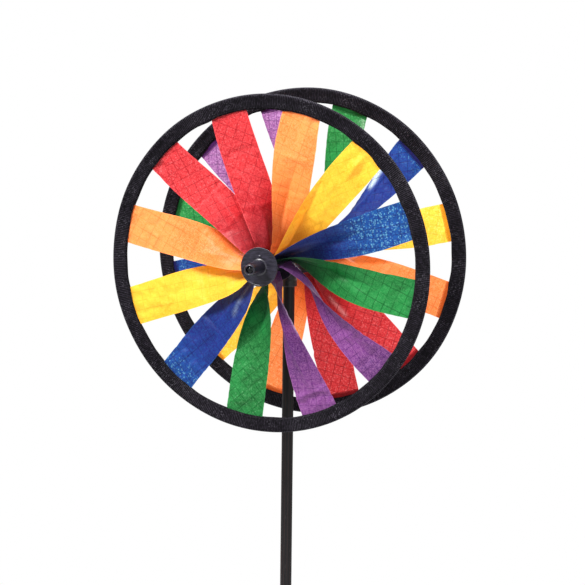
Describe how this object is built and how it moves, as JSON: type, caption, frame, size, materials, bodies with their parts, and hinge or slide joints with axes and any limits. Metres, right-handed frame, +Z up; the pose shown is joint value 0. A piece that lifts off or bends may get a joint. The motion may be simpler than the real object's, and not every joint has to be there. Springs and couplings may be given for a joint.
{
  "type": "wind spinner",
  "caption": "Twin-wheel garden wind spinner: two hooped cloth pinwheels on one axle, in front of and behind a pole with a ground stake.",
  "frame": {"origin": "at the tip of the ground stake, on the pole's axis; ground level, the underside of the stake's flange, is 150 mm above it", "axes": "+Z up along the pole; -Y from the pole to the front wheel, along the axle; +X to the right as seen from the front"},
  "size_m": [0.3046, 0.194, 0.9123],
  "materials": {
    "cloth_red": "ripstop nylon, thin and slightly sheer",
    "cloth_orange": "ripstop nylon, thin and slightly sheer",
    "cloth_yellow": "ripstop nylon, thin and slightly sheer",
    "cloth_green": "ripstop nylon, thin and slightly sheer",
    "cloth_blue": "ripstop nylon, thin and slightly sheer",
    "cloth_purple": "ripstop nylon, thin and slightly sheer",
    "binding_tape": "ribbed woven tape, folded and stitched",
    "hub_plastic": "moulded, matte",
    "cap_plastic": "glossy",
    "stake_plastic": "moulded, matte",
    "pole_black": "satin, faint lengthwise grain, fibreglass tube",
    "spring_steel": "drawn wire",
    "axle_steel": "drawn rod",
    "nylon": "natural nylon"
  },
  "bodies": {
    "pole_set": {"pole_plug": "nylon", "upper_pole": "pole_black", "pole_ferrule": "hub_plastic", "lower_pole": "pole_black", "ground_stake": "stake_plastic"},
    "head": {"front_axle_cap": "cap_plastic", "front_spacer_washer": "nylon", "rear_axle_cap": "cap_plastic", "rear_spacer_washer": "nylon", "tee_fitting": "hub_plastic", "axle_rod": "axle_steel"},
    "front_wheel": {"front_hoop_wire": "spring_steel", "front_hoop_sleeve": "spring_steel", "front_hoop_binding": "binding_tape", "front_blade_01_blue": "cloth_blue", "front_blade_02_yellow": "cloth_yellow", "front_blade_03_orange": "cloth_orange", "front_blade_04_red": "cloth_red", "front_blade_05_red": "cloth_red", "front_blade_06_orange": "cloth_orange", "front_blade_07_yellow": "cloth_yellow", "front_blade_08_blue": "cloth_blue", "front_blade_09_green": "cloth_green", "front_blade_10_purple": "cloth_purple", "front_blade_11_purple": "cloth_purple", "front_blade_12_green": "cloth_green", "front_hub_spool": "hub_plastic", "front_hub_nose": "hub_plastic"},
    "rear_wheel": {"rear_hoop_wire": "spring_steel", "rear_hoop_sleeve": "spring_steel", "rear_hoop_binding": "binding_tape", "rear_blade_01_yellow": "cloth_yellow", "rear_blade_02_blue": "cloth_blue", "rear_blade_03_green": "cloth_green", "rear_blade_04_purple": "cloth_purple", "rear_blade_05_purple": "cloth_purple", "rear_blade_06_green": "cloth_green", "rear_blade_07_blue": "cloth_blue", "rear_blade_08_yellow": "cloth_yellow", "rear_blade_09_orange": "cloth_orange", "rear_blade_10_red": "cloth_red", "rear_blade_11_red": "cloth_red", "rear_blade_12_orange": "cloth_orange", "rear_hub_spool": "hub_plastic", "rear_hub_nose": "hub_plastic"}
  },
  "joints": [
    {"name": "head_swivel", "type": "hinge", "parent": "pole_set", "child": "head", "pos_m": [0, 0, 0.734], "axis": [0, 0, 1], "continuous": true},
    {"name": "front_wheel_spin", "type": "hinge", "parent": "head", "child": "front_wheel", "pos_m": [0, -0.052, 0.76], "axis": [0, 1, 0], "continuous": true},
    {"name": "rear_wheel_spin", "type": "hinge", "parent": "head", "child": "rear_wheel", "pos_m": [0, 0.052, 0.76], "axis": [0, 1, 0], "continuous": true}
  ]
}
